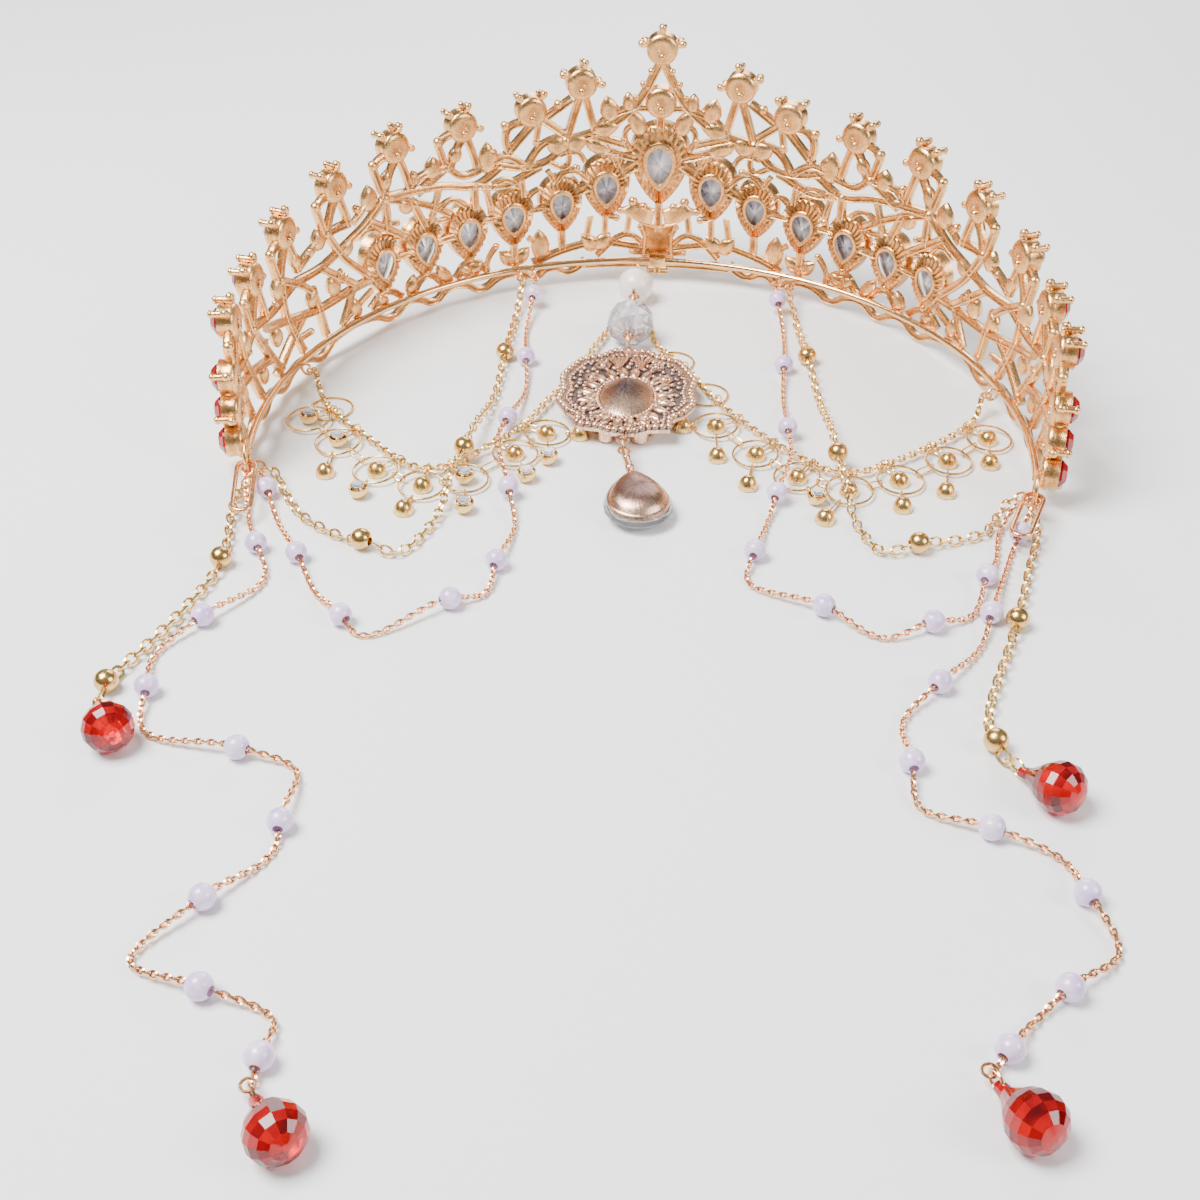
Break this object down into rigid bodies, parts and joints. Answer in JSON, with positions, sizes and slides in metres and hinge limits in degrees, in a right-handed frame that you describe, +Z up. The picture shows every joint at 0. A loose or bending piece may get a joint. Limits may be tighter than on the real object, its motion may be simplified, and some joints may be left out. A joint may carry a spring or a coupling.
{
  "type": "tiara",
  "caption": "Cast openwork tiara band set with pear and round stones, with a pendant for the forehead, swagged chains and drop-ended tassels, laid out on a table.",
  "frame": {"origin": "centre of the wall's base circle, on the table that the tiara stands on", "axes": "+Z up out of the wearer's head, +Y to the front of the tiara, +X to the right of a viewer who looks along +Y from inside it"},
  "size_m": [0.1643, 0.2409, 0.0583],
  "materials": {
    "cast_metal": "rose gold plated casting, satin with glossy edges",
    "rose_metal": "polished rose gold plated wire and curb chain",
    "yellow_metal": "polished yellow gold plate",
    "filigree_metal": "rose gold plate with darkened recesses",
    "red_stone": "faceted, clear red",
    "red_glass": "faceted glossy red glass",
    "clear_stone": "faceted colourless crystal",
    "clear_glass": "smooth colourless glass",
    "pearl": "lustrous lavender white",
    "cream_pearl": "lustrous cream white"
  },
  "bodies": {
    "root": {"crown_frame": "cast_metal", "peak_stone_mid": "red_stone", "collar_stone": "clear_stone", "peak_stones_left": "red_stone", "peak_stones_right": "red_stone", "end_stones_left": "red_stone", "end_stones_right": "red_stone", "pear_stone_mid": "clear_stone", "pear_stone_left_1": "clear_stone", "pear_stone_left_2": "clear_stone", "pear_stone_left_3": "clear_stone", "pear_stone_left_4": "clear_stone", "pear_stone_left_5": "clear_stone", "pear_stone_left_6": "clear_stone", "pear_stone_right_1": "clear_stone", "pear_stone_right_2": "clear_stone", "pear_stone_right_3": "clear_stone", "pear_stone_right_4": "clear_stone", "pear_stone_right_5": "clear_stone", "pear_stone_right_6": "clear_stone", "large_pearl": "cream_pearl", "pearl_pin": "rose_metal", "pendant_ring": "rose_metal", "crystal_bead": "clear_stone", "crystal_pin": "rose_metal", "brooch": "filigree_metal", "drop_ring": "rose_metal", "drop_setting": "filigree_metal", "drop_stone": "clear_glass", "end_link_left": "rose_metal", "end_link_right": "rose_metal", "pearl_swag_chain_left": "rose_metal", "pearl_swag_beads_left": "pearl", "pearl_swag_chain_right": "rose_metal", "pearl_swag_beads_right": "pearl", "gold_swag_chain_left": "yellow_metal", "gold_swag_beads_left": "yellow_metal", "gold_swag_chain_right": "yellow_metal", "gold_swag_beads_right": "yellow_metal", "pearl_tassel_chain_left": "rose_metal", "pearl_tassel_beads_left": "pearl", "pearl_tassel_chain_right": "rose_metal", "pearl_tassel_beads_right": "pearl", "gold_tassel_links_left": "yellow_metal", "gold_tassel_beads_left": "yellow_metal", "gold_tassel_links_right": "yellow_metal", "gold_tassel_beads_right": "yellow_metal", "fringe_chain_left": "yellow_metal", "fringe_cups_left": "yellow_metal", "fringe_stones_left": "clear_stone", "fringe_chain_right": "yellow_metal", "fringe_cups_right": "yellow_metal", "fringe_stones_right": "clear_stone", "red_drop_pearl_left": "red_glass", "red_drop_pearl_right": "red_glass", "red_drop_gold_left": "red_glass", "red_drop_gold_right": "red_glass"}
  },
  "joints": []
}
